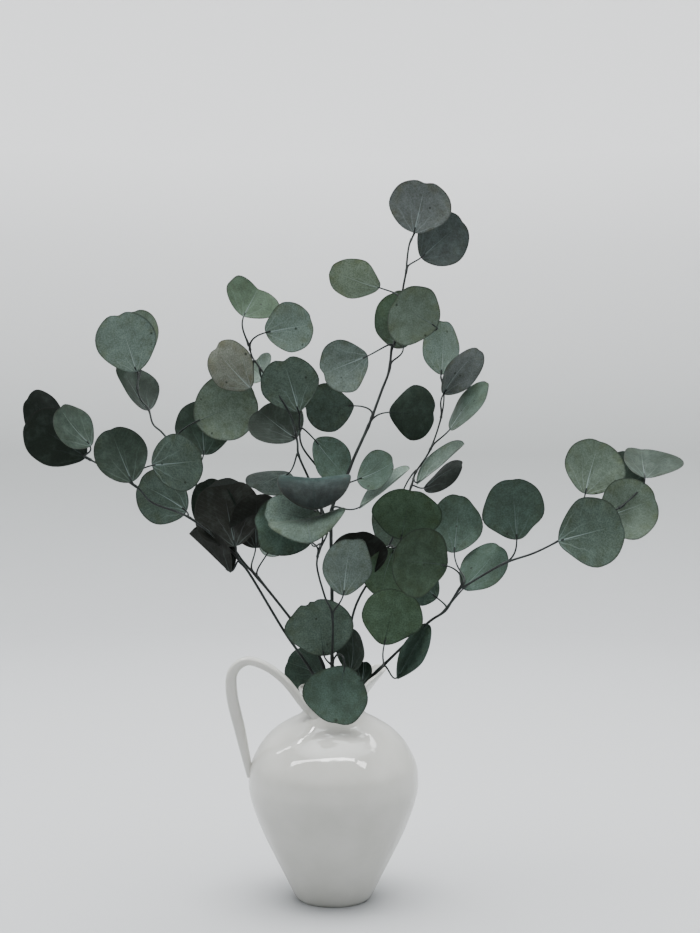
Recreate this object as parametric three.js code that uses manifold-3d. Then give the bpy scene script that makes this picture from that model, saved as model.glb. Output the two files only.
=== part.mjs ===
// Silver-dollar eucalyptus stems standing in a white glazed jug.
// Millimetres, +Z up, the origin at the centre of the jug's foot, the handle to the left (-X).

import * as THREE from "three";
import { mergeVertices } from "three/addons/utils/BufferGeometryUtils.js";
import Module from "manifold-3d";

const wasm = await Module();
wasm.setup();

// Jug: driving dimensions
const FOOT_RADIUS = 31.5;
const BELLY_RADIUS = 72;
const BELLY_HEIGHT = 101;
const NECK_RADIUS = 25;
const NECK_HEIGHT = 160;
const RIM_RADIUS = 30;
const RIM_HEIGHT = 177.5;
const WALL = 4;
const FLOOR = 5;
const JUG_SIDES = 32;
const SPOUT_TURN = 30;
const SPOUT_REACH = 20;
const SPOUT_RISE = 15;
const SPOUT_SPREAD = { reach: 34, rise: 48 };
const STRAP = { wide: 10.5, thick: 7.5, sides: 8, steps: 22 };
const STRAP_GAP = 0.35;
const CUT_ABOVE = { out: 2, up: 6 };

// Stems and leaves: driving dimensions
const BLADE_THICKNESS = 0.8;
const BLADE_SIDES = 14;
const SHOULDER = 0.12;
const CUP = 1.5;
const NOTCH = { deep: 1, spread: 0.2 };
const STEM_SIDES = 5;
const STEM_STEP = 20;
const PETIOLE = { thick: 1.7, sides: 3, steps: 4, leaving: 0.4, arriving: 0.45, intoBlade: 4 };
const SEAT_GAP = 0.6;
const SLIVER = 0.03;

// The front view in which the places of stems and leaves are given, as column, row and depth.
// A column or row is VIEW.step wide in the plane through the jug's axis, seen from the eye.
// Depth is in millimetres from that plane, and is positive behind it.
const VIEW = { step: 0.85, column: 350, row: 466.5, eyeAcross: 14, eyeBack: 1150, eyeHeight: 365 };

function seen([column, row, depth]) {
  const scale = (VIEW.step * (VIEW.eyeBack + depth)) / VIEW.eyeBack;
  const across = VIEW.eyeAcross + (column - VIEW.column) * scale;
  const height = VIEW.eyeHeight + (VIEW.row - row) * scale;
  return new THREE.Vector3(across, depth, height);
}

// Each stem: where its cut end stands on the jug's floor and where it passes the neck, [x, y],
// its thickness at the foot and at the tip, its route above the mouth, its side branches and leaves.
// A leaf grows at a point of the route (0 is the first one above the mouth, -1 is the neck).
// wide is the blade's real width; roll turns it about its midrib and fold closes it along the midrib,
// in degrees; cup lowers its middle, away from the viewer, and notch cuts its tip, in millimetres.
const STEMS = {
  far_left_stem: {
    foot: [17, -9],
    neck: [-4, -8],
    thick: [3.2, 1.6],
    route: [
      [312, 672, -6], [284, 631, -8], [251, 576, -17], [240, 562, -20], [232, 552, -22],
      [190, 518, -35], [153, 503, -42], [136, 486.5, -46], [98, 464, -54], [85, 457, -58],
    ],
    leaves: [
      { at: 8.4, base: [62, 438, -44], tip: [21, 399, -36], wide: 50, roll: 38, cup: 3 },
      { at: 9, base: [81, 455, -60], tip: [27, 419, -66], wide: 49, roll: 8, cup: 2 },
      { at: 8.8, base: [85, 452, -64], tip: [60, 408, -78], wide: 46, roll: 64, fold: -12 },
      { at: 7, base: [132, 482, -50], tip: [110, 428, -46], wide: 44, roll: -18, cup: 3 },
      { at: 7.1, base: [152, 465, -42], tip: [203, 460, -56], wide: 49, roll: -12, cup: -2 },
      { at: 5, base: [187, 511, -29], tip: [138, 483, -22], wide: 50, roll: 20, cup: 3 },
      { at: 3.4, base: [235, 545, -26], tip: [224, 480, -36], wide: 52, roll: 14, cup: 4 },
      { at: 4.2, base: [228, 536, -14], tip: [201, 482, -6], wide: 40, roll: 30, cup: 2 },
      { at: 3, base: [238, 562, -24], tip: [189, 535, -38], wide: 50, roll: -26, fold: 24 },
    ],
  },
  left_stem: {
    foot: [14, 9],
    neck: [-7, 6],
    thick: [3.2, 1.5],
    route: [
      [322, 662, 5], [290.5, 618.5, 8], [259, 579, 13], [246, 565, 15], [235, 550, 17],
      [200, 495, 25], [195, 481, 27], [180, 455, 31], [163, 433.5, 36], [153, 424, 38],
      [148.5, 409, 42], [141, 400, 44], [137.5, 389, 46], [138, 373, 48],
    ],
    leaves: [
      { at: 13, base: [136, 369, 46], tip: [117, 312, 36], wide: 55, roll: 6, notch: 3 },
      { at: 12, base: [141, 366, 56], tip: [135, 310, 66], wide: 48, roll: 28, cup: 3 },
      { at: 9.9, base: [148, 409, 48], tip: [132, 362, 60], wide: 44, roll: -40, fold: 14 },
      { at: 7.2, base: [197, 421, 26], tip: [252, 393, 16], wide: 55, roll: 4, cup: 3 },
      { at: 6.2, base: [204, 456, 36], tip: [202, 400, 46], wide: 50, roll: -18, cup: 2 },
      { at: 2.2, base: [256, 548, 4], tip: [263, 494, -4], wide: 44, roll: 24, cup: 3 },
      { at: 2, base: [266, 556, 14], tip: [290, 514, 22], wide: 42, roll: 30, cup: 3 },
      { at: -0.1, base: [318, 671, 12], tip: [287, 664, 14], wide: 30, roll: 20, cup: 3 },
    ],
  },
  tall_stem: {
    foot: [-3, 2],
    neck: [-1, 0],
    thick: [4.6, 1.8],
    route: [
      [332, 664, 0], [332, 597, 2], [331, 530, 4], [333, 505, 5], [347, 475.6, 8],
      [354.6, 456.5, 10], [367.4, 428.4, 13], [372.5, 415.7, 14], [381.4, 391.4, 16], [389, 371, 18],
      [391.6, 349.3, 20], [394.8, 341, 20], [403, 288.8, 24], [406.3, 271, 24], [407, 260.8, 24],
      [409.5, 244, 24], [415.9, 230.8, 24],
    ],
    branches: {
      a: {
        from: 2,
        thick: [2.8, 1.5],
        route: [
          [320, 505, -1], [309, 479, -5], [298.6, 455, -8], [297, 440, -9], [289, 412, -9],
          [262, 371, -6], [252.7, 357.6, -4], [249, 346, -4],
        ],
      },
      b: {
        from: 3,
        thick: [2.4, 1.6],
        route: [[325, 478, 4], [303, 448, 3], [299.7, 430, 1], [299.7, 415, -4]],
      },
    },
    leaves: [
      { at: 15.3, base: [414, 233, 22], tip: [426, 180, 12], wide: 55, roll: 6, notch: 2.5 },
      { at: 13, base: [421, 258, 32], tip: [463, 221, 40], wide: 49, roll: -14, cup: 2 },
      { at: 11.7, base: [378, 287, 30], tip: [329, 270, 22], wide: 46, roll: 44, cup: -2 },
      { at: 11, base: [433, 328, 8], tip: [393, 300, 2], wide: 50, roll: 8, cup: 3 },
      { at: 9.2, base: [402, 347, 26], tip: [391, 292, 36], wide: 48, roll: 34, cup: 3 },
      { at: 10.1, base: [368, 356, 12], tip: [321, 375, 4], wide: 46, roll: 8, cup: 3 },
      { at: 6.9, base: [354, 405, 20], tip: [305, 410, 32], wide: 45, roll: 16, cup: 3 },
      { at: 6.1, base: [389, 413, 18], tip: [435, 413, 28], wide: 48, roll: -10, cup: -4, notch: 2 },
      { at: 3.5, base: [357, 480, -2], tip: [394, 462, -14], wide: 42, roll: -46, cup: 2 },
      { at: 2.7, base: [358.5, 508.5, -12], tip: [410, 467, -18], wide: 42, roll: 78, fold: 8 },
      { on: "b", at: 3, base: [315, 440, 4], tip: [347, 477, 14], wide: 42, roll: 38, cup: 2 },
      { on: "b", at: 4, base: [298.6, 411, -8], tip: [280, 357, -18], wide: 49, roll: 10, cup: 3, notch: 2.5 },
      { on: "a", at: 8, base: [242, 315, -12], tip: [259, 282, 16], wide: 42, roll: -30, fold: 16 },
      { on: "a", at: 7.6, base: [264, 333.5, -10], tip: [315, 322, -20], wide: 43, roll: -8, cup: 3 },
      { on: "a", at: 6.6, base: [249, 386, 0], tip: [216, 347, 8], wide: 44, roll: 24, cup: -3, notch: 2.5 },
      { on: "a", at: 6.1, base: [262, 380, 0], tip: [258, 358, 20], wide: 32, roll: 40, cup: 2 },
      { on: "a", at: 4.3, base: [294, 437, -4], tip: [260, 405, 20], wide: 47, roll: -40, fold: 8 },
      { on: "a", at: 3, base: [288.8, 473.5, -2], tip: [253, 489, 28], wide: 42, roll: 52, cup: 3 },
    ],
  },
  upper_right_stem: {
    foot: [-12, 17],
    neck: [7, 12],
    thick: [2.8, 1.4],
    route: [
      [345, 665, 11], [354, 611, 15], [370.8, 577.7, 20], [382, 556, 24], [393, 537, 28],
      [411, 487, 38], [416, 472, 41], [430, 450, 46], [441, 418, 52], [444, 395, 55],
      [441, 378, 57],
    ],
    leaves: [
      { at: 10, base: [441, 375, 57], tip: [443, 320, 50], wide: 46, roll: 48, cup: 2 },
      { at: 8, base: [450, 394.6, 50], tip: [481, 349, 44], wide: 45, roll: -52, cup: 3 },
      { at: 7, base: [450, 429.7, 42], tip: [489, 382, 34], wide: 44, roll: 58, cup: -2 },
      { at: 5.4, base: [416, 484, 32], tip: [465, 442, 26], wide: 42, roll: 68, fold: 14 },
      { at: 5, base: [424, 489, 44], tip: [463, 464, 54], wide: 42, roll: -62, cup: 3 },
      { at: 6, base: [406, 479, 38], tip: [389, 548, 36], wide: 46, roll: -20, cup: 2 },
      { at: 3, base: [399, 539, -2], tip: [422, 487, -14], wide: 61, roll: -14, cup: 4 },
      { at: 3.4, base: [394, 548, 14], tip: [380, 597, 12], wide: 48, roll: 28, cup: 3 },
      { at: 2, base: [363, 575, 12], tip: [352, 530, 8], wide: 46, roll: 24, cup: 3 },
      { at: -0.3, base: [350, 672, 4], tip: [350, 627, -2], wide: 38, roll: 48, cup: 4 },
    ],
  },
  front_stem: {
    foot: [3, -17],
    neck: [3, -14],
    thick: [2.6, 1.5],
    route: [
      [332.5, 664, -17], [332.5, 617, -29], [325, 597, -34], [317.7, 571, -40], [317.5, 557, -43],
      [322.7, 538, -47], [321.5, 514, -52],
    ],
    leaves: [
      { at: 6, base: [320, 511, -54], tip: [311, 474, -22], wide: 58, roll: -10, cup: 7 },
      { at: 4.2, base: [314, 532, -48], tip: [266, 503, -56], wide: 36, roll: -40, cup: 2 },
      { at: 4, base: [306, 544, -56], tip: [262, 520, -72], wide: 50, roll: -22, fold: 12 },
      { at: 4.2, base: [308, 542, -62], tip: [304, 519, -98], wide: 62, roll: 2, cup: 5 },
      { at: 1, base: [343.5, 595, -34], tip: [354, 537, -42], wide: 46, roll: -28, cup: 3 },
      { at: 0, base: [344.6, 666, -42], tip: [326, 724, -50], wide: 54, roll: 4, cup: 3 },
      { at: -0.1, base: [323.6, 656.5, -18], tip: [314, 598, -17], wide: 56, roll: 4, notch: 3 },
    ],
  },
  right_stem: {
    foot: [-17, -4],
    neck: [13, -3],
    thick: [3.2, 1.5],
    route: [
      [364, 683, 3], [378.4, 670, 4], [425.6, 624.8, -20], [444.7, 610.8, -28], [459, 589.5, -32],
      [465, 586, -33], [503, 564, -38], [534, 553, -40], [559, 540.5, -42], [590, 522, -38],
      [619, 508, -34], [640, 490, -30],
    ],
    leaves: [
      { at: 4.3, base: [456, 553, -2], tip: [469, 497, 8], wide: 48, roll: 18, cup: 3 },
      { at: 4, base: [447.6, 565.6, -40], tip: [392, 557, -50], wide: 58, roll: 4, cup: 4 },
      { at: 3, base: [437, 598, -18], tip: [414, 578, -6], wide: 34, roll: 20, cup: 2 },
      { at: 3.2, base: [462, 589, -24], tip: [497, 545, -20], wide: 46, roll: 30, fold: 16 },
      { at: 6, base: [517, 539, -38], tip: [507, 479, -46], wide: 50, roll: 6, cup: 3 },
      { at: 8.4, base: [585, 494, -28], tip: [601, 440, -22], wide: 52, roll: -8, cup: 3 },
      { at: 11, base: [646, 477, -30], tip: [664, 446, 8], wide: 48, roll: 37, cup: 3 },
      { at: 8, base: [561, 539, -50], tip: [621, 521, -60], wide: 56, roll: 4, cup: 3 },
      { at: 9, base: [600, 519, -34], tip: [656, 496, -30], wide: 52, roll: -6, cup: 3 },
      { at: 10, base: [618, 500, -16], tip: [628, 451, -8], wide: 40, roll: 30, cup: 2 },
      { at: -0.4, base: [361, 684, -2], tip: [364, 661, 6], wide: 18, roll: 24, cup: 2 },
      { at: 1.1, base: [392, 667, -14], tip: [429, 624, -18], wide: 42, roll: 58, fold: -20 },
      { at: 0.9, base: [384, 643, -30], tip: [400, 588, -38], wide: 50, roll: -8, cup: 4 },
    ],
  },
};

const HANDLE_ROUTE = [
  [316, 717, -17], [304, 706, -20], [286, 682, -20], [267, 667, -19], [247, 661, -17],
  [233, 672, -15], [232, 695, -13], [240, 730, -11], [246, 757, -10], [251, 778, -9],
];

// Turning geometry into solids and back
function solid(geometry) {
  geometry.deleteAttribute("normal");
  geometry.deleteAttribute("uv");
  const merged = mergeVertices(geometry, 1e-4);
  const vertProperties = new Float32Array(merged.attributes.position.array);
  const triVerts = new Uint32Array(merged.index.array);
  return new wasm.Manifold(new wasm.Mesh({ numProp: 3, vertProperties, triVerts }));
}

// What grows together is one body: slivers at the joins go, and a hollow that joining seals is filled
function joined(solids) {
  const whole = solids.reduce((sum, next) => sum.add(next)).simplify(SLIVER);
  return whole.decompose().reduce((most, piece) => (piece.volume() > most.volume() ? piece : most));
}

function geometryOf(body) {
  const mesh = body.getMesh();
  const geometry = new THREE.BufferGeometry();
  geometry.setAttribute("position", new THREE.BufferAttribute(new Float32Array(mesh.vertProperties), 3));
  geometry.setIndex(new THREE.BufferAttribute(new Uint32Array(mesh.triVerts), 1));
  geometry.computeVertexNormals();
  return geometry;
}

function bent(geometry, move) {
  const place = geometry.attributes.position;
  for (let i = 0; i < place.count; i += 1) {
    const point = new THREE.Vector3().fromBufferAttribute(place, i);
    move(point);
    place.setXYZ(i, point.x, point.y, point.z);
  }
  return geometry;
}

// A rod along a curve, whose radius changes evenly from its first end to its last.
// flat is how many times wider than thick its section is.
function rod(curve, steps, sides, radii, flat = 1) {
  const ring = new THREE.Shape();
  ring.absellipse(0, 0, flat, 1, 0, 2 * Math.PI);
  const outline = new THREE.Shape(ring.getSpacedPoints(sides).slice(0, sides));
  const geometry = new THREE.ExtrudeGeometry(outline, { steps, extrudePath: curve });
  const centres = curve.getSpacedPoints(steps);
  return solid(bent(geometry, (point) => {
    const gaps = centres.map((centre) => centre.distanceToSquared(point));
    const nearest = gaps.indexOf(Math.min(...gaps));
    const radius = THREE.MathUtils.lerp(radii[0], radii[1], nearest / steps);
    point.sub(centres[nearest]).multiplyScalar(radius).add(centres[nearest]);
  }));
}

// The jug: a turned body, its mouth pulled out into a spout, and a strap handle set against it
const OUTSIDE = [
  [FOOT_RADIUS, 0], [FOOT_RADIUS + 2.5, 4], [40.5, 17.5], [50.5, 37], [60.5, 57.5], [68, 77],
  [71.6, 91], [BELLY_RADIUS, BELLY_HEIGHT], [71, 111], [67, 121], [60, 132.5], [50, 142.5],
  [38, 150], [28.5, 155], [NECK_RADIUS, NECK_HEIGHT], [25.6, 168], [RIM_RADIUS, RIM_HEIGHT],
];
const INSIDE = [[36.5, 17.5], [56.5, 57.5], [67.5, 91], [67, 110], [56, 132], [35, 147.5]];

function pulled(point) {
  const climb = THREE.MathUtils.smoothstep(point.z, NECK_HEIGHT + 2, RIM_HEIGHT);
  const turn = THREE.MathUtils.radToDeg(Math.atan2(point.y, point.x)) - SPOUT_TURN;
  const away = Math.abs(((turn + 540) % 360) - 180);
  const radius = Math.hypot(point.x, point.y);
  if (radius < 1e-6) return;
  const reach = 1 + (SPOUT_REACH * climb * Math.exp(-((away / SPOUT_SPREAD.reach) ** 2))) / radius;
  point.x *= reach;
  point.y *= reach;
  point.z += SPOUT_RISE * climb * Math.exp(-((away / SPOUT_SPREAD.rise) ** 2));
}

function turned(outline) {
  const points = outline.map(([radius, height]) => new THREE.Vector2(radius, height));
  const geometry = new THREE.LatheGeometry(points, JUG_SIDES);
  geometry.rotateX(Math.PI / 2);
  return solid(bent(geometry, pulled));
}

function jug() {
  const body = turned([[0, 0], ...OUTSIDE, [0, RIM_HEIGHT]]);
  const mouth = OUTSIDE.slice(-3).map(([radius, height]) => [radius - WALL, height]);
  const above = [RIM_RADIUS - WALL + CUT_ABOVE.out, RIM_HEIGHT + CUT_ABOVE.up];
  const hollow = turned([[0, FLOOR], [FOOT_RADIUS - WALL, FLOOR], ...INSIDE, ...mouth, above, [0, above[1]]]);
  return body.subtract(hollow);
}

function handle() {
  const route = new THREE.CatmullRomCurve3(HANDLE_ROUTE.map(seen), false, "catmullrom", 0.5);
  const radii = [STRAP.thick / 2, STRAP.thick / 2];
  const strap = rod(route, STRAP.steps, STRAP.sides, radii, STRAP.wide / STRAP.thick);
  const around = OUTSIDE.map(([radius, height]) => [radius + STRAP_GAP, height]);
  const cut = strap.subtract(turned([[0, 0], ...around, [0, RIM_HEIGHT]]));
  return cut.decompose().reduce((most, piece) => (piece.volume() > most.volume() ? piece : most));
}

// A blade: a thin round disc, shaped to the leaf's outline and bent in space
function blade(leaf) {
  const base = seen(leaf.base);
  const along = seen(leaf.tip).sub(base);
  const long = along.length();
  along.normalize();
  const face = new THREE.Vector3(0, -1, 0).addScaledVector(along, along.y).normalize();
  const side = new THREE.Vector3().crossVectors(along, face);
  const roll = THREE.MathUtils.degToRad(leaf.roll ?? 0);
  side.applyAxisAngle(along, -roll);
  face.applyAxisAngle(along, -roll);
  const fold = THREE.MathUtils.degToRad(leaf.fold ?? 0);
  const disc = new THREE.CylinderGeometry(1, 1, BLADE_THICKNESS, BLADE_SIDES, 1);
  return solid(bent(disc, (point) => {
    const out = Math.hypot(point.x, point.z);
    const turn = Math.atan2(point.x, point.z);
    const towardsTip = Math.cos(turn) * out;
    const shoulder = 1 - SHOULDER * Math.max(0, -towardsTip) ** 2;
    const cut = (leaf.notch ?? NOTCH.deep) * out * Math.exp(-((turn / NOTCH.spread) ** 2));
    const reach = (long / 2) * (1 + towardsTip) - cut;
    const wide = -(leaf.wide / 2) * Math.sin(turn) * out * shoulder;
    const lift = (leaf.cup ?? CUP) * (out ** 2 - 1) + Math.abs(wide) * Math.sin(fold);
    const across = wide * Math.cos(fold);
    const place = base.clone().addScaledVector(along, reach).addScaledVector(side, across);
    point.copy(place.addScaledVector(face, lift + point.y));
  }));
}

// A petiole: from the stem into the blade, where it lies under the start of the midrib
function petiole(leaf, root, growth) {
  const base = seen(leaf.base);
  const along = seen(leaf.tip).sub(base).normalize();
  const span = root.distanceTo(base);
  const end = base.clone().addScaledVector(along, PETIOLE.intoBlade);
  const leaving = root.clone().addScaledVector(growth, span * PETIOLE.leaving);
  const arriving = base.clone().addScaledVector(along, -span * PETIOLE.arriving);
  const curve = new THREE.CubicBezierCurve3(root, leaving, arriving, end);
  return rod(curve, PETIOLE.steps, PETIOLE.sides, [PETIOLE.thick / 2, PETIOLE.thick / 2]);
}

function leafyStem(stem) {
  const inside = [
    new THREE.Vector3(stem.foot[0], stem.foot[1], FLOOR + SEAT_GAP),
    new THREE.Vector3(stem.neck[0], stem.neck[1], NECK_HEIGHT),
  ];
  const first = inside.length;
  const points = [...inside, ...stem.route.map(seen)];
  const routes = { main: { points, first, thick: stem.thick } };
  for (const [name, branch] of Object.entries(stem.branches ?? {})) {
    const start = seen(stem.route[branch.from]);
    routes[name] = { points: [start, ...branch.route.map(seen)], first: 0, thick: branch.thick };
  }
  const parts = [];
  for (const route of Object.values(routes)) {
    route.curve = new THREE.CatmullRomCurve3(route.points, false, "catmullrom", 0.5);
    const steps = Math.ceil(route.curve.getLength() / STEM_STEP);
    parts.push(rod(route.curve, steps, STEM_SIDES, route.thick.map((thick) => thick / 2)));
  }
  for (const leaf of stem.leaves) {
    const route = routes[leaf.on ?? "main"];
    const share = Math.min(1, (leaf.at + route.first) / (route.points.length - 1));
    const root = route.curve.getPoint(share);
    const growth = route.curve.getTangent(share);
    parts.push(petiole(leaf, root, growth), blade(leaf));
  }
  return joined(parts);
}

const GLAZE = new THREE.MeshStandardMaterial({ color: 0xe6e4de, roughness: 0.18, metalness: 0 });
const LEAF = new THREE.MeshStandardMaterial({ color: 0x4c5f56, roughness: 0.62, metalness: 0 });

function node(name, body, material) {
  const mesh = new THREE.Mesh(geometryOf(body), material);
  mesh.name = name;
  return mesh;
}

const arrangement = new THREE.Group();
arrangement.add(node("jug", jug(), GLAZE));
arrangement.add(node("handle", handle(), GLAZE));
for (const [name, stem] of Object.entries(STEMS)) {
  arrangement.add(node(name, leafyStem(stem), LEAF.clone()));
}

export default arrangement;
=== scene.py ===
# %% [markdown]
# # Silver-dollar eucalyptus in a white glazed jug
# The real thing is a small thrown jug with six cut stems standing in it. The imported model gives
# every place and size; this lesson dresses it. It could be done by sculpting each leaf, but the
# leaves are all one kind, so one function makes a leaf and a table says how each one lies.

import math
from functools import partial

import bpy
import numpy as np
from mathutils import Matrix


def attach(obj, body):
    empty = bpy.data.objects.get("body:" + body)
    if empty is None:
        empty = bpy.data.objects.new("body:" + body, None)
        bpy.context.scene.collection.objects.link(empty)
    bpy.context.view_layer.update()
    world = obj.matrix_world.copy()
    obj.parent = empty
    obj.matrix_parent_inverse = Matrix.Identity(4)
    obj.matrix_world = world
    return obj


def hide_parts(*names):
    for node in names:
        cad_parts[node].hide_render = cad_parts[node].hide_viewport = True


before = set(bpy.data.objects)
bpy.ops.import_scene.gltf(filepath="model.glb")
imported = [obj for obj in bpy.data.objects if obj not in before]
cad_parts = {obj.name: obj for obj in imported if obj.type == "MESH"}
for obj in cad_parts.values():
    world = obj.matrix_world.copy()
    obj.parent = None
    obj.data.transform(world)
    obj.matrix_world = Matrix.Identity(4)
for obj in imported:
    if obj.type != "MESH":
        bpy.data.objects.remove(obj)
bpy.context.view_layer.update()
print("solids:", sorted(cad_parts))

# %% [markdown]
# ## The camera
# The picture was taken level, from a little over a metre, at the height of the bunch's middle.
# One mapping from the picture's columns and rows to metres then places both the camera and the
# leaves. A point is given as column, row and depth behind the jug's axis in millimetres. A step
# of one column or row is 0.85 mm in the plane of that axis, and grows with the distance.

# %% The view and its mapping
VIEW = dict(step=0.85, column=350, row=466.5, across=14, back=1150, height=365)
HALF_SENSOR = 18


def seen(point):
    column, row, depth = point
    scale = VIEW["step"] * (VIEW["back"] + depth) / VIEW["back"]
    across = VIEW["across"] + (column - VIEW["column"]) * scale
    return np.array([across, depth, VIEW["height"] + (VIEW["row"] - row) * scale]) / 1000


def add_camera():
    camera = bpy.data.objects.new("camera", bpy.data.cameras.new("camera"))
    bpy.context.scene.collection.objects.link(camera)
    camera.location = (VIEW["across"] / 1000, -VIEW["back"] / 1000, VIEW["height"] / 1000)
    camera.rotation_euler = (math.pi / 2, 0, 0)
    camera.data.lens = HALF_SENSOR * VIEW["back"] / (VIEW["row"] * VIEW["step"])
    bpy.context.scene.camera = camera
    print("camera lens", round(camera.data.lens, 1), "mm")


add_camera()

# %% [markdown]
# ## Colours and nodes
# Colours are written as they are seen on a screen, in sRGB hex, and Blender works in linear
# light, so one function turns them. Nodes can be placed and linked by hand in the editor; in
# code one small function adds a node of any kind with its settings and links, which keeps a
# material short enough to read as a recipe. Plain values go to the node's inputs in their order.
# A named one goes to the setting or the input of that name, and i6 to input number 6. A value is
# a number, a hex colour, a socket, or a node, whose first output in use is then linked. Stops
# fill a colour ramp.


# %% Linear colour, a node, an empty material
def linear(hex_colour):
    channels = [int(hex_colour[i : i + 2], 16) / 255 for i in (1, 3, 5)]
    return [c / 12.92 if c <= 0.04045 else ((c + 0.055) / 1.055) ** 2.4 for c in channels] + [1.0]


def add(tree, kind, *values, stops=(), **named):
    node = tree.nodes.new("ShaderNode" + kind)
    for name in [name for name in named if hasattr(node, name)]:
        setattr(node, name, named.pop(name))
    for slot, value in [*enumerate(values), *named.items()]:
        if isinstance(slot, str):
            slot = int(slot[1:]) if slot[1:].isdigit() else slot.replace("_", " ")
        if isinstance(value, bpy.types.Node):
            value = next(output for output in value.outputs if output.enabled)
        if isinstance(value, bpy.types.NodeSocket):
            tree.links.new(value, node.inputs[slot])
        else:
            node.inputs[slot].default_value = linear(value) if isinstance(value, str) else value
    bar = node.color_ramp.elements if stops else ()
    while len(bar) < len(stops):
        bar.new(0.5)
    for stop, (place, colour) in zip(bar, stops):
        stop.position = place
        stop.color = linear(colour)
    return node


def material(name):
    made = bpy.data.materials.new(name)
    made.use_nodes = True
    made.node_tree.nodes.clear()
    return made, made.node_tree


print("middle grey in linear light:", round(linear("#808080")[0], 3))

# %% [markdown]
# ## Glazed earthenware
# The jug is earthenware under a white glaze, fired glossy. To the eye that is a milky white body
# with sharp reflections, which waver a little because the glaze is about a third of a millimetre
# thick and never quite level. Such a glaze has an index of about 1.65. A principled shader with
# low roughness and a faint slow bump is all it needs; a coat layer over a dull body would look
# the same and cost more. The wavering has a real wavelength of 8 to 15 mm, and is drawn at 11.
# The few pinholes are about 1 mm across, larger than life, so that they show.


# %% Glaze
def glazed_earthenware():
    made, tree = material("glazed_earthenware")
    place = add(tree, "TexCoord").outputs["Object"]
    cloud = add(tree, "TexNoise", place, Scale=28.0, Detail=3.0)
    tint = add(tree, "ValToRGB", cloud, stops=[(0.3, "#b6b5ae"), (0.7, "#c0bfb9")])
    pits = add(tree, "TexVoronoi", place, Scale=160.0)
    hole = add(tree, "MapRange", pits, 0.03, 0.09, 0.25, 0.0)
    rare = add(tree, "MapRange", add(tree, "TexNoise", place, Scale=60.0, Detail=0.0), 0.64, 0.7)
    pinhole = add(tree, "Math", hole, rare, operation="MULTIPLY")
    colour = add(tree, "Mix", pinhole, data_type="RGBA", i6=tint, i7="#a99f8c")
    slow = add(tree, "TexNoise", place, Scale=90.0, Detail=1.0)
    wavering = add(tree, "Bump", Strength=0.16, Distance=0.0012, Height=slow)
    shade = add(
        tree, "BsdfPrincipled", Base_Color=colour, Roughness=0.04, IOR=1.65, Normal=wavering
    )
    add(tree, "OutputMaterial", Surface=shade)
    return made


GLAZE = glazed_earthenware()
print("material:", GLAZE.name)

# %% [markdown]
# ## Meshes
# A piece is made from points in metres and faces, smooth but for its sharp edges, and given its
# material. It is then tied to the imported body, and the solids it stands for are hidden.


# %% Helpers for meshes
def tidy_mesh(name, points, faces, sharp=50):
    mesh = bpy.data.meshes.new(name)
    mesh.from_pydata([tuple(p) for p in points], [], faces)
    mesh.polygons.foreach_set("use_smooth", [True] * len(mesh.polygons))
    mesh.set_sharp_from_angle(angle=math.radians(sharp))
    made = bpy.data.objects.new(name, mesh)
    bpy.context.scene.collection.objects.link(made)
    return made


def dress(piece, node):
    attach(piece, "root")
    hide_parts(node)
    print(piece.name, "faces", len(piece.data.polygons))


def between(a, b, c, d, t):
    """The point at a share t of the way from b to c, on a smooth curve past a and d."""
    return 0.5 * (2 * b + (c - a) * t + (2 * a - 5 * b + 4 * c - d) * t**2
                  + (3 * b - a - 3 * c + d) * t**3)


def through(points, each):
    """Points on a smooth curve through the given ones, as many between each two."""
    points = np.asarray(points, float)
    ends = np.vstack([2 * points[0] - points[1], points, 2 * points[-1] - points[-2]])
    made = []
    for a, b, c, d in zip(ends, ends[1:], ends[2:], ends[3:]):
        made += [between(a, b, c, d, k / each) for k in range(each)]
    return np.array(made + [points[-1]])


print("points on a curve past four:", len(through([(0, 0), (1, 1), (2, 0), (3, 1)], 4)))

# %% [markdown]
# ## The jug's body
# A potter throws the body as one hollow and pulls the spout out of the wet rim. A lathe modifier
# would give the body but not the spout, so the wall is drawn as one closed line, out, over the
# round lip and down the inside, and turned in code; then the same pull as in the solid moves the
# points near the spout. The radii and heights are the solid's own, in millimetres.

# %% Turn the body
OUTSIDE = [
    (0, 0.6), (24, 0.6), (27, 0.2), (30.2, 0), (31.5, 0.9), (34, 4.4), (40.5, 17.5), (50.5, 37),
    (60.5, 57.5), (68, 77), (71.6, 91), (72, 101), (71, 111), (67, 121), (60, 132.5),
    (50, 142.5), (38, 150), (28.5, 155), (25, 160), (25.6, 168), (29.6, 176),
]
LIP = [(29.9, 177.2), (29, 178.2), (27.6, 177.8), (26.6, 176.3)]
INSIDE = [
    (22.4, 168), (21, 160), (24.4, 151.5), (35, 147), (56, 132), (67, 110), (67.5, 91),
    (56.5, 57.5), (36.5, 17.5), (26, 5.6), (20, 5), (0, 5),
]
UNDERSIDE, INNER_FLOOR = 0.0006, 0.005
SPOUT = dict(turn=30, reach=20, rise=15, spread_reach=34, spread_rise=48, low=162, high=177.5)
JUG_SIDES = 128


def pull_spout(x, y, z):
    t = np.clip((z - SPOUT["low"]) / (SPOUT["high"] - SPOUT["low"]), 0, 1)
    climb = t * t * (3 - 2 * t)
    turn = np.degrees(np.arctan2(y, x)) - SPOUT["turn"]
    away = np.abs((turn + 540) % 360 - 180)
    radius = np.maximum(np.hypot(x, y), 1e-6)
    more = 1 + SPOUT["reach"] * climb * np.exp(-((away / SPOUT["spread_reach"]) ** 2)) / radius
    rise = SPOUT["rise"] * climb * np.exp(-((away / SPOUT["spread_rise"]) ** 2))
    return x * more, y * more, z + rise


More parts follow.
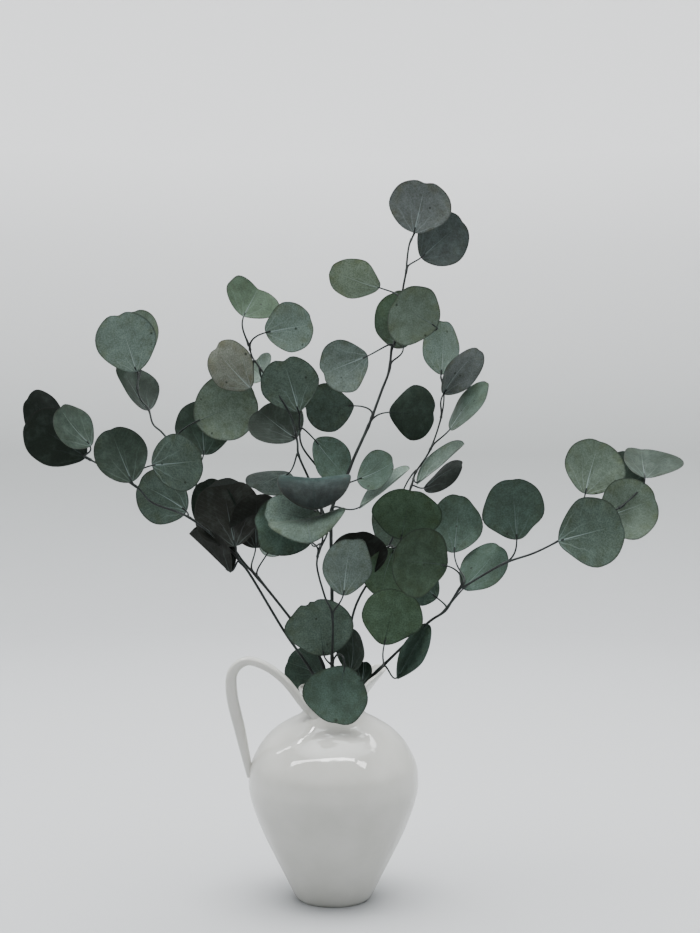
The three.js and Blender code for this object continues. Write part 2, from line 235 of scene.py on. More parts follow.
def turn_body():
    line = np.vstack([through(OUTSIDE, 4), through(LIP, 2), through(INSIDE, 4)])[1:-1]
    turns = np.linspace(0, 2 * np.pi, JUG_SIDES, endpoint=False)
    points, faces = [(0, 0, UNDERSIDE)], []
    for radius, height in line:
        x, y, z = pull_spout(radius * np.cos(turns), radius * np.sin(turns), height + 0 * turns)
        points += list(np.stack([x, y, z], axis=1) / 1000)
    points.append((0, 0, INNER_FLOOR))
    last = 1 + (len(line) - 1) * JUG_SIDES
    for k in range(JUG_SIDES):
        n = (k + 1) % JUG_SIDES
        faces.append((0, 1 + n, 1 + k))
        for row in range(len(line) - 1):
            a, b = 1 + row * JUG_SIDES, 1 + (row + 1) * JUG_SIDES
            faces.append((a + k, a + n, b + n, b + k))
        faces.append((last + k, last + n, len(points) - 1))
    return tidy_mesh("jug_body", points, faces, sharp=80)


body = turn_body()
body.data.materials.append(GLAZE)
dress(body, "jug")

# %% [markdown]
# ## The strap handle
# A strap handle is pulled from a lump of clay into a tapering strip, then pressed onto the
# shoulder and the belly, where the thumb spreads its upper end. A curve with a bevel can't
# spread at its ends, so the strip is swept in code: an oval section follows the route, wider at
# the shoulder, thinner at the belly, and thicker where the strip turns down.

# %% Sweep the strap
HANDLE = [
    (318.5, 719, -17), (311, 711, -18), (304, 705, -20), (286, 682, -20), (267, 667, -19),
    (247, 661, -17), (233, 672, -15), (232, 695, -13), (240, 730, -11), (246, 757, -10),
    (250, 776, -9),
]
STRAP = dict(wide=10.5, thick=7.2, narrowing=0.12, sides=28, each=7, squareness=0.8)
SPREAD = dict(more=0.55, length=0.07)
THINNED = dict(less=0.3, start=0.75)
TURNED = dict(more=0.38, place=0.72, length=0.17)


def frames(path, lead):
    """Directions along and across a path; lead is kept as close to the same side as it can be."""
    along = np.gradient(path, axis=0)
    along /= np.linalg.norm(along, axis=1)[:, None]
    first = lead - along * (along @ lead)[:, None]
    first /= np.linalg.norm(first, axis=1)[:, None]
    return first, np.cross(along, first)


def sweep(path, sizes, sides, lead, power=1.0):
    """A closed tube; sizes gives its two half widths at each point of the path."""
    first, second = frames(path, np.asarray(lead, float))
    turns = np.linspace(0, 2 * np.pi, sides, endpoint=False)
    cos = np.sign(np.cos(turns)) * np.abs(np.cos(turns)) ** power
    sin = np.sign(np.sin(turns)) * np.abs(np.sin(turns)) ** power
    points = []
    for centre, a, b, (wide, thick) in zip(path, first, second, sizes):
        points.append(centre + wide * np.outer(cos, a) + thick * np.outer(sin, b))
    points = np.vstack(points)
    faces = [tuple(range(sides))[::-1]]
    for row in range(len(path) - 1):
        for k in range(sides):
            n = (k + 1) % sides
            a, b = row * sides, (row + 1) * sides
            faces.append((a + k, a + n, b + n, b + k))
    faces.append(tuple(range((len(path) - 1) * sides, len(path) * sides)))
    return points, faces


def pull_strap():
    path = through([seen(p) for p in HANDLE], STRAP["each"])
    share = np.linspace(0, 1, len(path))
    upper = 1 + SPREAD["more"] * np.exp(-((share / SPREAD["length"]) ** 2))
    low = np.clip((share - THINNED["start"]) / (1 - THINNED["start"]), 0, 1)
    lower = 1 - THINNED["less"] * low**2
    turned = 1 + TURNED["more"] * np.exp(-(((share - TURNED["place"]) / TURNED["length"]) ** 2))
    wide = STRAP["wide"] / 2000 * upper * (1 - STRAP["narrowing"] * share)
    thick = STRAP["thick"] / 2000 * upper * lower * turned
    sizes = np.stack([wide, thick], axis=1)
    points, faces = sweep(path, sizes, STRAP["sides"], (0, 1, 0), STRAP["squareness"])
    return tidy_mesh("strap_handle", points, faces, sharp=70)


strap = pull_strap()
strap.data.materials.append(GLAZE)
dress(strap, "handle")

# %% [markdown]
# ## The leaf's patterns
# Up close each leaf shows cloudy mottling, a fine grain, a midrib with side veins, veins that fan
# from the base, and a net between them. A photographed leaf on each blade would repeat; a
# procedure gives each its own pattern. Each blade carries its own colour, its place on the blade
# in millimetres, how near the edge it is, and how pale its veins are, so the veins bend with the
# leaf. Side veins are 4 mm apart, the fan's veins 25 degrees, the net has 2 mm meshes, the
# mottling is about 9 mm across and the grain about 1 mm, as on a real leaf. The scales of noise
# and cells are counted per millimetre.

# %% Leaf patterns
MOTTLING, GRAIN, BENDING, NET, SPOTS = 0.11, 0.8, 0.12, 0.55, 0.075
SIDE_VEINS = dict(step=4.0, bow=0.86, rise=1.25)
FAN_STEP = 0.44


def leaf_patterns(node, where, side, along, across):
    """Mottling, grain and bend, then how strong each kind of vein is, from nought to one."""
    cloud = node("TexNoise", where, Scale=MOTTLING, Detail=4.0, Roughness=0.62)
    grain = node("TexNoise", where, Scale=GRAIN, Detail=3.0)
    slow = node("TexNoise", where, Scale=BENDING, Detail=1.0)
    bend = node("Math", slow, 0.5, operation="MULTIPLY")

    def from_middle(count):
        """How far a running count is from the middle between two whole numbers."""
        part = node("Math", node("Math", count, bend, operation="ADD"), operation="FRACT")
        return node("Math", node("Math", part, 0.5, operation="SUBTRACT"), operation="ABSOLUTE")

    bowed = node("Math", side, SIDE_VEINS["bow"], operation="POWER")
    bowed = node("Math", bowed, SIDE_VEINS["rise"], operation="MULTIPLY")
    rising = node("Math", along, bowed, operation="SUBTRACT")
    off = from_middle(node("Math", rising, SIDE_VEINS["step"], operation="DIVIDE"))
    line = node("MapRange", off, 0.05, 0.14, 1.0, 0.0)
    side_vein = node("Math", line, node("MapRange", side, 1.0, 4.0), operation="MULTIPLY")

    far = node("Math", across, across, operation="MULTIPLY")
    far = node("Math", far, node("Math", along, along, operation="MULTIPLY"), operation="ADD")
    far = node("Math", far, operation="SQRT")
    angle = node("Math", across, node("Math", along, 1.0, operation="ADD"), operation="ARCTAN2")
    ray = from_middle(node("Math", angle, FAN_STEP, operation="DIVIDE"))
    ray = node("Math", node("Math", ray, FAN_STEP, operation="MULTIPLY"), far, operation="MULTIPLY")
    ray = node("MapRange", ray, 0.15, 0.55, 1.0, 0.0)
    fading = node("MapRange", far, 5.0, 34.0, 1.0, 0.0)
    fan = node("Math", ray, fading, operation="MULTIPLY")

    borders = node("TexVoronoi", where, Scale=NET, feature="DISTANCE_TO_EDGE")
    net = node("MapRange", borders, 0.0, 0.12, 1.0, 0.0)
    tapering = node("Math", along, 0.008, operation="MULTIPLY")
    rib_width = node("Math", 0.42, tapering, operation="SUBTRACT")
    rib = node("MapRange", node("Math", side, rib_width, operation="DIVIDE"), 0.5, 1.6, 1.0, 0.0)
    fading = node("MapRange", along, 12.0, 40.0, 1.0, 0.1)
    midrib = node("Math", rib, fading, operation="MULTIPLY")
    return cloud, grain, bend, side_vein, fan, net, midrib


print("mottling", round(1 / MOTTLING), "mm, fan step", round(math.degrees(FAN_STEP)), "degrees")

# %% [markdown]
# ## Waxy leaf
# These are real leaves, preserved in glycerine and a dye, so they stay soft and matt: a blue-grey
# wax bloom over a green-grey to brown blade, an olive tinge near the edge, a thin dark rim, and
# here and there a dead spot. Leaf wax has an index near 1.45 and scatters light, so the roughness
# is high and the sheen low. The colour could be one ramp, but it is built up in layers from the
# blade's own tone, each laid over the last as strongly as its pattern times its share.


# %% Leaf material
def preserved_leaf():
    made, tree = material("preserved_leaf")
    node = partial(add, tree)
    tone = node("Attribute", attribute_name="tone").outputs["Color"]
    where = node("Attribute", attribute_name="blade_mm").outputs["Vector"]
    edge = node("Attribute", attribute_name="edge").outputs["Fac"]
    vein_tone = node("Attribute", attribute_name="vein").outputs["Fac"]
    split = node("SeparateXYZ", where)
    across, along = split.outputs["X"], split.outputs["Y"]
    side = node("Math", across, operation="ABSOLUTE")
    cloud, grain, bend, side_vein, fan, net, midrib = leaf_patterns(
        node, where, side, along, across
    )

    mottled = [(0.3, "#a9a89c"), (0.52, "#bfc0bb"), (0.72, "#cfd1cc")]
    fine = [(0.34, "#a8aaa6"), (0.62, "#d9dbd9")]
    near_edge = node("MapRange", edge, 0.45, 1.0)
    olive = node("Math", near_edge, node("MapRange", bend, 0.225, 0.375), operation="MULTIPLY")
    vein_colour = node("Mix", vein_tone, data_type="RGBA", i6="#15201d", i7="#a3b5b3")
    spots = node("TexVoronoi", where, Scale=SPOTS)
    colour = tone
    for kind, amount, share, over in (
        ("MULTIPLY", 0.85, None, node("ValToRGB", cloud, stops=mottled)),
        ("MULTIPLY", 0.8, None, node("ValToRGB", grain, stops=fine)),
        ("SCREEN", node("MapRange", cloud, 0.5, 0.8), 0.1, "#5b6b66"),
        ("MIX", net, 0.18, "#1d2622"),
        ("MULTIPLY", olive, 0.6, "#e3d9ac"),
        ("MIX", side_vein, 0.02, vein_colour),
        ("MIX", fan, 0.17, vein_colour),
        ("MIX", midrib, 0.5, vein_colour),
        ("MIX", node("MapRange", spots, 0.06, 0.11, 0.75, 0.0), None, "#1b1f18"),
        ("MIX", node("MapRange", edge, 0.94, 1.0, 0.0, 0.72), None, "#1a1c17"),
    ):
        if share:
            amount = node("Math", amount, share, operation="MULTIPLY")
        colour = node("Mix", amount, data_type="RGBA", blend_type=kind, i6=colour, i7=over)

    relief = node("Math", midrib, -1.0, operation="MULTIPLY")
    for pattern, height in ((side_vein, -0.03), (grain, 0.5), (cloud, 0.6)):
        raised = node("Math", pattern, height, operation="MULTIPLY")
        relief = node("Math", relief, raised, operation="ADD")
    shade = node(
        "BsdfPrincipled",
        Base_Color=colour,
        Roughness=node("MapRange", cloud, 0.3, 0.7, 0.72, 0.58),
        IOR=1.45,
        Specular_IOR_Level=0.2,
        Normal=node("Bump", Strength=0.55, Distance=0.0005, Height=relief),
    )
    node("OutputMaterial", Surface=shade)
    return made


LEAF = preserved_leaf()
print("material:", LEAF.name)

# %% [markdown]
# ## Stem bark
# The stems are thin first-year shoots: near-black green-brown bark, dyed with the leaves, a
# little glossy where it is taut, with fine ridges that run along it and a scar at each leaf. A
# noise stretched upward draws the ridges, since the stems stand more than they lie; they are
# 0.4 mm apart on the plant and drawn at 1 mm, as finer ones wouldn't show.


# %% Bark material
def young_bark():
    made, tree = material("young_bark")
    place = add(tree, "TexCoord").outputs["Object"]
    stretched = add(tree, "Mapping", place, vector_type="POINT", Scale=(1.0, 1.0, 0.14))
    ridges = add(tree, "TexNoise", stretched, Scale=1000.0, Detail=2.0)
    patches = add(tree, "TexNoise", place, Scale=70.0, Detail=2.0)
    greens = [(0.35, "#151a18"), (0.55, "#212725"), (0.78, "#38403c")]
    base = add(tree, "ValToRGB", patches, stops=greens)
    furrows = add(tree, "ValToRGB", ridges, stops=[(0.3, "#8a8a8a"), (0.7, "#ffffff")])
    colour = add(tree, "Mix", 0.7, data_type="RGBA", blend_type="MULTIPLY", i6=base, i7=furrows)
    shade = add(
        tree,
        "BsdfPrincipled",
        Base_Color=colour,
        Roughness=0.52,
        IOR=1.45,
        Specular_IOR_Level=0.3,
        Normal=add(tree, "Bump", Strength=0.5, Distance=0.0004, Height=ridges),
    )
    add(tree, "OutputMaterial", Surface=shade)
    return made


BARK = young_bark()
print("material:", BARK.name)

# %% [markdown]
# ## Leaf tones
# A bunch like this is dyed unevenly, so its leaves run from near black and brown through several
# greens to blue-grey, slate and taupe. One noise over the whole bunch would mix them at random;
# here each leaf is given the tone that it has in the picture. The tones are lighter than the
# leaves look, because the mottling and the grain darken them. Pale leaves show pale veins.

# %% Tones by name
TONES = dict(
    deep="#18291c",
    brown="#181b11",
    dark="#35473c",
    green="#627d64",
    moss="#4e6450",
    teal="#31504e",
    dusky="#586262",
    mid="#576d63",
    blue="#6a7d73",
    grey="#8a9a95",
    sage="#859789",
    pale="#9cb2a9",
    slate="#868d8e",
    fern="#acc0aa",
    taupe="#a3a79c",
)
PALE_VEINED = ("blue", "grey", "sage", "pale", "slate", "fern", "taupe")
VEINS = dict(pale=1.0, other=0.35)
print("tones", len(TONES))

# %% [markdown]
# ## The table of stems and leaves
# Each stem has the place of its cut end on the jug's floor and where it passes the neck, in
# millimetres, its thickness at either end, and its route above the mouth. Each leaf says where
# on the route it grows, its base and its tip, its real width and its tone. Then come the ways in
# which it differs from a flat round leaf. roll turns it about its midrib, fold closes it along
# the midrib, cup lowers its middle, arch lifts the middle of its length and wave ripples the
# margin. wedge narrows the base, and lean moves the middle sideways. notch cuts the tip: spread
# says how wide, and aside how far from the tip. cuts lists dents and bulges of the margin, each
# as its turn from the tip, its width and its depth. dusk darkens the blade towards
# its base, as painted shade for a base that lies in shadow. vein goes from dark to pale veins, by
# gives points that the leaf stalk passes, and on names the side branch. Lengths are in
# millimetres, roll and fold in degrees, turns around the margin in radians.


# %% Stems and their leaves
def leaf(at, base, tip, wide, tone, **more):
    return dict(dict(at=at, base=base, tip=tip, wide=wide, tone=tone), **more)


STEMS = {
    "far_left_stem": dict(
        foot=(17, -9),
        neck=(-4, -8),
        thick=(2.7, 1.4),
        route=[
            (312, 672, -6), (284, 631, -8), (251, 576, -17), (240, 562, -20), (232, 552, -22),
            (190, 518, -35), (153, 503, -42), (136, 486.5, -46), (98, 464, -54), (85, 457, -58),
        ],
        leaves=[
            leaf(8.4, (64, 434, -44), (26, 398, -36), 44, "deep", roll=30, cup=3, vein=0.1),
            leaf(9, (86, 457, -58), (27, 420, -62), 49, "deep", roll=8, cup=2, wedge=0.35,
                vein=0.1),
            leaf(8.8, (91, 446, -76), (59, 407, -84), 44, "dark", roll=-56, fold=-8, cup=2),
            leaf(7, (132, 482, -50), (110, 428, -46), 44, "dark", roll=-18, cup=3),
            leaf(7.1, (152, 465, -42), (203, 460, -56), 49, "blue", roll=-12, cup=-2),
            leaf(5, (187, 511, -29), (138, 483, -22), 50, "blue", roll=20, cup=3),
            leaf(3.4, (235, 546, -24), (222, 478, -14), 56, "brown", roll=-14, cup=3, wedge=0.1,
                notch=2.5, spread=0.3, aside=0.5, cuts=[(2.2, 0.5, -4), (-0.5, 0.15, 1.5)]),
            leaf(4.2, (226, 536, -10), (203, 480, -4), 42, "deep", roll=20, cup=2),
            leaf(3, (230, 573, -12), (188, 533, -14), 56, "brown", roll=-70, fold=60, cup=0.5,
                wave=0.4),
        ],
    ),
    "left_stem": dict(
        foot=(14, 9),
        neck=(-7, 6),
        thick=(2.7, 1.4),
        route=[
            (322, 662, 5), (290.5, 618.5, 8), (259, 579, 13), (246, 565, 15), (235, 550, 17),
            (200, 495, 25), (195, 481, 27), (180, 455, 31), (163, 433.5, 36), (153, 424, 38),
            (148.5, 409, 42), (141, 400, 44), (137.5, 389, 46), (138, 373, 48),
        ],
        leaves=[
            leaf(13, (136.5, 372, 46), (117, 312, 36), 55, "pale", roll=6, notch=3, wedge=0.25),
            leaf(12, (141, 366, 56), (135, 310, 66), 48, "sage", roll=28, cup=3),
            # Painted shade on this leaf, darker towards its base.
            leaf(9.9, (148, 411, 48), (120, 366, 56), 44, "dark", roll=-58, fold=8, lean=6,
                dusk=0.5),
            # This leaf's sage tone is lighter than its dye: painted light against the shade of the
            # leaves around it.
            leaf(7.2, (195, 422, 26), (256, 395, 16), 58, "sage", roll=4, cup=3, vein=0.2),
            leaf(6.2, (204, 456, 36), (202, 400, 46), 50, "dark", roll=-18, cup=2),
            leaf(2.2, (256, 548, -2), (257, 493, -26), 46, "brown", roll=-16, cup=3),
            leaf(2, (266, 556, 14), (290, 514, 22), 42, "grey", roll=30, cup=3),
            leaf(-0.1, (322, 676, 12), (286, 662, 14), 42, "mid", roll=14, cup=3),
        ],
    ),
    "tall_stem": dict(
        foot=(-3, 2),
        neck=(-1, 0),
        thick=(3.5, 1.5),
        route=[
            (332, 664, 0), (332, 597, 2), (331, 530, 4), (333, 505, 5), (347, 475.6, 8),
            (354.6, 456.5, 10), (367.4, 428.4, 13), (372.5, 415.7, 14), (381.4, 391.4, 16),
            (389, 371, 18), (391.6, 349.3, 20), (394.8, 341, 20), (403, 288.8, 24),
            (406.3, 271, 24), (407, 260.8, 24), (409.5, 244, 24), (415.9, 230.8, 24),
        ],
        branches=dict(
            a=dict(
                start=2,
                thick=(2.3, 1.4),
                route=[
                    (320, 505, -1), (309, 479, -5), (298.6, 455, -8), (297, 440, -9),
                    (289, 412, -9), (262, 371, -6), (252.7, 357.6, -4), (249, 346, -4),
                ],
            ),
            b=dict(
                start=3,
                thick=(2.1, 1.4),
                route=[(325, 478, 4), (303, 448, 3), (299.7, 430, 1), (299.7, 415, -4)],
            ),
        ),
        leaves=[
            leaf(15.3, (414, 233, 22), (426, 180, 12), 55, "slate", roll=6, notch=2.5),
            leaf(13, (421, 258, 32), (463, 221, 40), 49, "dusky", roll=-14, cup=2),
            leaf(11.7, (380, 288, 30), (330, 269, 22), 44, "fern", roll=44, cup=-2, wedge=0.35),
            leaf(11, (437, 327, 8), (393, 301, 2), 54, "sage", roll=8, cup=3, lean=-2.5, vein=0.2),
            # Painted shade on this leaf, darker towards its base.
            leaf(9.2, (404, 348, 26), (392, 292, 36), 48, "green", roll=34, cup=3, dusk=0.6),
            leaf(10.1, (368, 356, 12), (321, 375, 4), 47, "grey", roll=8, cup=3, wedge=0.35,
                notch=2.5),
            leaf(6.9, (354, 405.5, 20), (305, 410, 32), 45, "blue", roll=16, cup=3, wedge=0.5,
                vein=0.1),
            leaf(6.1, (389, 412, 18), (436, 413, 28), 49, "dark", roll=-10, cup=-4, notch=2,
                wedge=0.45, vein=0.0),
            leaf(3.5, (357, 480, -2), (394, 462, -14), 42, "mid", roll=44, cup=2),
            leaf(2.7, (358.5, 508.5, -12), (410, 467, -18), 42, "pale", roll=78, fold=8),
            leaf(3, (315, 440, 4), (347, 477, 14), 42, "mid", on="b", roll=38, cup=2),
            leaf(4, (298.6, 412, -8), (282, 357, -18), 51, "blue", on="b", roll=10, cup=3,
                notch=3.5, wedge=0.35),
            leaf(8, (243, 317, -12), (259, 287, 12), 50, "moss", on="a", roll=-8, fold=8, notch=2,
                spread=0.25, cuts=[(0.75, 0.35, -4)]),
            leaf(7.6, (265, 332.5, -10), (314, 324, -20), 43, "pale", on="a", roll=-8, cup=3,
                wedge=0.3, lean=-1, cuts=[(0.2, 0.15, 1.5)]),
            leaf(6.6, (251, 388, 0), (214, 346, 8), 44, "taupe", on="a", roll=24, cup=-3, notch=2.5,
                wedge=0.25),
            leaf(6.1, (262, 380, 0), (258, 358, 20), 32, "pale", on="a", roll=40, cup=2),
            leaf(4.3, (296, 439, -4), (258, 410, 16), 52, "deep", on="a", roll=-28, fold=6),
            leaf(3, (290, 473.5, -2), (254, 490, 28), 44, "grey", on="a", roll=50, cup=3),
        ],
    ),
    "upper_right_stem": dict(
        foot=(-12, 17),
        neck=(7, 12),
        thick=(2.5, 1.3),
        route=[
            (345, 665, 11), (354, 611, 15), (370.8, 577.7, 20), (382, 556, 24), (393, 537, 28),
            (411, 487, 38), (416, 472, 41), (430, 450, 46), (441, 418, 52), (444, 395, 55),
            (441, 378, 57),
        ],
        leaves=[
            leaf(10, (441, 375, 57), (443, 320, 50), 46, "pale", roll=48, cup=2),
            leaf(8, (443, 394, 50), (480, 349, 44), 46, "slate", roll=-52, cup=3),
            leaf(7, (450, 429.7, 42), (488, 382, 34), 44, "blue", roll=66, cup=-2),
            leaf(5.4, (416, 484, 32), (465, 442, 26), 42, "blue", roll=74, fold=10),
            leaf(5, (424, 489, 44), (463, 464, 54), 42, "deep", roll=-62, cup=3),
            leaf(6, (403, 490, 38), (389, 548, 36), 44, "blue", roll=-20, cup=2),
            leaf(3, (401, 540, -2), (412, 489, -14), 61, "green", roll=-8, cup=3, wedge=0.3,
                notch=2, vein=0.1),
            leaf(3.4, (394, 548, 14), (380, 597, 12), 48, "green", roll=28, cup=3),
            leaf(2, (362, 578, 12), (356, 531, 8), 50, "brown", roll=10, cup=3),
            leaf(-0.3, (350, 672, 4), (350, 627, -2), 38, "dark", roll=48, cup=4),
        ],
    ),
    "front_stem": dict(
        foot=(3, -17),
        neck=(3, -14),
        thick=(2.2, 1.4),
        route=[
            (332.5, 664, -17), (332.5, 617, -29), (325, 597, -34), (317.7, 571, -40),
            (317.5, 557, -43), (322.7, 538, -47), (321.5, 514, -52),
        ],
        leaves=[
            # Painted shade on this leaf, darker towards its base, for the shadow in its cup.
            leaf(6, (314, 510, -88), (315, 483, -50), 59, "teal", roll=0, cup=1, arch=15, wave=0.2,
                dusk=1.1, wedge=-0.3, vein=0.0),
            # This leaf's pale tone is lighter than its dye: painted light against the shadow of the
            # leaf in front of it.
            leaf(4.2, (322, 522, -60), (264, 508, -66), 34, "pale", roll=-14, cup=2, vein=0.0),
            leaf(4, (312, 542, -52), (256, 512, -56), 50, "mid", roll=-8, fold=8, cup=3, wave=0.8,
                vein=0.2, cuts=[(0.65, 0.35, 3), (1.35, 0.25, -1.5)]),
            leaf(4.2, (311, 543, -94), (308, 520, -62), 63, "blue", roll=0, cup=3, arch=12,
                wave=0.3, vein=0.2),
            leaf(1, (343.5, 596, -34), (352, 538, -42), 47, "grey", roll=-24, cup=3, wedge=0.3,
                cuts=[(-1.2, 0.5, 3), (-0.45, 0.2, -2)]),
            leaf(0, (344.6, 666, -42), (336, 725, -50), 55, "mid", roll=4, cup=3, vein=0.1, lean=5,
                wedge=0.1, cuts=[(-0.8, 0.5, 2)],
                by=[(334, 659, -20), (338, 654, -30), (343, 657, -40)]),
            leaf(-0.1, (323.6, 656.5, -18), (317, 599, -17), 57, "blue", roll=4, notch=0.5,
                wave=1.3, vein=0.0,
                cuts=[(0.35, 0.09, 4), (0.12, 0.07, 2.5), (1.5, 0.3, -1.5), (0.9, 0.3, 1.5),
                    (2.3, 0.3, 1)]),
        ],
    ),
    "right_stem": dict(
        foot=(-17, -4),
        neck=(13, -3),
        thick=(2.7, 1.4),
        route=[
            (364, 683, 3), (378.4, 670, 4), (425.6, 624.8, -20), (444.7, 610.8, -28),
            (459, 589.5, -32), (465, 586, -33), (503, 564, -38), (534, 553, -40), (559, 540.5, -42),
            (590, 522, -38), (619, 508, -34), (640, 490, -30),
        ],
        leaves=[
            leaf(4.3, (454, 553, -2), (459, 494, 8), 44, "mid", roll=14, cup=3,
                cuts=[(-0.8, 0.4, 3), (-1.9, 0.4, -2)]),
            leaf(4, (447.6, 565.6, -40), (392, 560, -50), 58, "moss", roll=4, cup=4, vein=0.1,
                cuts=[(-2.2, 0.4, -3), (2.3, 0.4, 2)]),
            leaf(3, (437, 598, -18), (414, 578, -6), 34, "mid", roll=20, cup=2),
            leaf(3.2, (463, 589, -24), (501, 545, -20), 46, "mid", roll=42, fold=-22, lean=-4,
                wedge=0.2),
            leaf(6, (517, 540, -38), (512, 478, -46), 50, "mid", roll=6, cup=3,
                cuts=[(1.9, 0.35, -3), (-2.3, 0.4, 3)]),
            leaf(8.4, (585, 494, -28), (600, 440, -22), 54, "sage", roll=-8, cup=3, lean=1.5,
                wedge=0.2),
            leaf(11, (645, 477, -34), (641, 448, 2), 50, "dark", roll=6, cup=2, lean=9, wedge=0.1),
            leaf(8, (558, 541, -50), (624, 524, -60), 58, "blue", roll=4, cup=3, wedge=0.35),
            leaf(9, (600, 519, -30), (657, 499, -34), 52, "sage", roll=6, cup=3),
            leaf(10, (618, 498, 0), (628, 451, 10), 38, "dark", roll=20, cup=2),
            leaf(-0.4, (361, 684, -2), (364, 661, 6), 18, "deep", roll=24, cup=2),
            leaf(1.1, (397, 679, -14), (428, 623, -18), 44, "mid", roll=2, fold=56, cup=0.5,
                wedge=0.6, wave=0.4),
            leaf(0.9, (384, 645, -30), (399, 589, -38), 52, "green", roll=-8, cup=4, wedge=0.3,
                vein=0.0),
        ],
    ),
}

print("stems", len(STEMS), "leaves", sum(len(stem["leaves"]) for stem in STEMS.values()))

# %% [markdown]
# ## A blade's outline
# A leaf could be a flat picture on a plane, but from the side it would vanish and it could not
# cup. So each blade is a thin closed sheet, and starts as a flat grid of rows from base to tip
# and columns across, whose ends are rounded by spacing the rows like the points of a circle. Each
# point of the grid knows its turn around the middle, from the tip, and how far out it lies. With
# these two, the margin is made uneven, dented and notched. Lengths are in millimetres here.

# %% Outline
ROWS, COLUMNS = 22, 16
END_GAP = 0.11
SHOULDER, WEDGE = 0.12, 0.12
UNEVEN, WHOLE_TURN = 0.011, 6.3
MIDDLE_RADIUS = 25
NOTCH = dict(deep=1.0, spread=0.2, aside=0.0)


def outline(item, long, chance):
    """The grid's columns, share towards the tip, turn and distance out, then width and reach."""
    rows = np.linspace(END_GAP, np.pi - END_GAP, ROWS)[:, None]
    cols = np.sin(np.linspace(-np.pi / 2, np.pi / 2, COLUMNS))[None, :]
    towards = -np.cos(rows) + 0 * cols
    turn = np.arctan2(cols * np.sin(rows), towards)
    out = np.sqrt((cols * np.sin(rows)) ** 2 + towards**2)
    early = np.maximum(0, -towards)
    half = np.sin(rows) * (1 - SHOULDER * early**2)
    half = half * (1 - item.get("wedge", WEDGE) * early**1.5)
    uneven = sum(
        UNEVEN * chance.uniform(-1, 1) * np.sin(k * turn + chance.uniform(0, WHOLE_TURN))
        for k in (2, 3, 5, 7)
    )
    for where, width, deep in item.get("cuts", ()):
        uneven = uneven - deep / MIDDLE_RADIUS * np.exp(-(((turn - where) / width) ** 2))
    grow = 1 + uneven * out**2
    away = (turn - item.get("aside", NOTCH["aside"])) / item.get("spread", NOTCH["spread"])
    cut = item.get("notch", NOTCH["deep"]) * out**2 * np.exp(-(away**2))
    reach = long / 2 * (1 + towards * grow) - cut
    wide = -item["wide"] / 2 * cols * half * grow
    wide = wide + item.get("lean", 0.0) * np.sin(np.pi * (reach / long))
    return cols, towards, turn, out, wide, reach


# %% [markdown]
# ## A blade's form
# The flat outline is lifted into its cup, arch, fold and ripple, laid along the line from base to
# tip and rolled. The fold bends over 1.6 mm, as a sharp crease would look like card. A modifier
# could give the thickness; here two copies half a millimetre apart, nearer at the margin, and a
# strip around them close the sheet. The faces are the same for all blades and are made once.

# %% Lift and place
CUP, WAVE = 1.5, 0.9
SOFT = 1.6


def lifted(item, towards, turn, out, wide, fold, chance):
    lift = item.get("cup", CUP) * (out**2 - 1) + item.get("arch", 0.0) * (1 - towards**2)
    lift = lift + (np.sqrt(wide**2 + SOFT**2) - SOFT) * math.sin(fold)
    for k in (2, 3, 4):
        size = item.get("wave", WAVE) * chance.uniform(0.2, 0.6)
        lift = lift + size * np.sin(k * turn + chance.uniform(0, WHOLE_TURN)) * out**2
    return lift


def turned_about(vector, axis, angle):
    return (
        vector * math.cos(angle)
        + np.cross(axis, vector) * math.sin(angle)
        + axis * (axis @ vector) * (1 - math.cos(angle))
    )


def placed(item):
    """A blade's base and length, and its directions along, across and out of its face."""
    base, tip = seen(item["base"]) * 1000, seen(item["tip"]) * 1000
    along = tip - base
    long = np.linalg.norm(along)
    along /= long
    face = np.array([0, -1, 0]) + along * along[1]
    face /= np.linalg.norm(face)
    side = np.cross(along, face)
    roll = -math.radians(item.get("roll", 0))
    return base, long, along, turned_about(side, along, roll), turned_about(face, along, roll)


def closed_sheet():
    """Faces of the grid's front and back copy and of the strip around them."""
    count = ROWS * COLUMNS
    faces = []
    for r in range(ROWS - 1):
        for c in range(COLUMNS - 1):
            a = r * COLUMNS + c
            faces.append((a, a + 1, a + COLUMNS + 1, a + COLUMNS))
            b = count + a
            faces.append((b, b + COLUMNS, b + COLUMNS + 1, b + 1))
    ring = list(range(COLUMNS))
    ring += [r * COLUMNS + COLUMNS - 1 for r in range(1, ROWS)]
    ring += [(ROWS - 1) * COLUMNS + c for c in range(COLUMNS - 2, -1, -1)]
    ring += [r * COLUMNS for r in range(ROWS - 2, 0, -1)]
    for a, b in zip(ring, ring[1:] + ring[:1]):
        faces.append((b, a, count + a, count + b))
    return faces


SHEET = closed_sheet()
print("faces of a blade", len(SHEET))

# %% [markdown]
# ## One blade
# Each leaf has a number, and with it a chance of its own, so that the same leaf always comes out
# the same. The outline is drawn first, then the fold, the ripple and the tone. Beside its points
# a blade gives what the leaf material reads: tone, place, nearness to the edge and vein paleness.

# %% Blade
THICK = 0.5
SEED = 11
FOLD = (2, 6)
TONE_RANGE = 0.05
PATTERN_STEP = 31.0


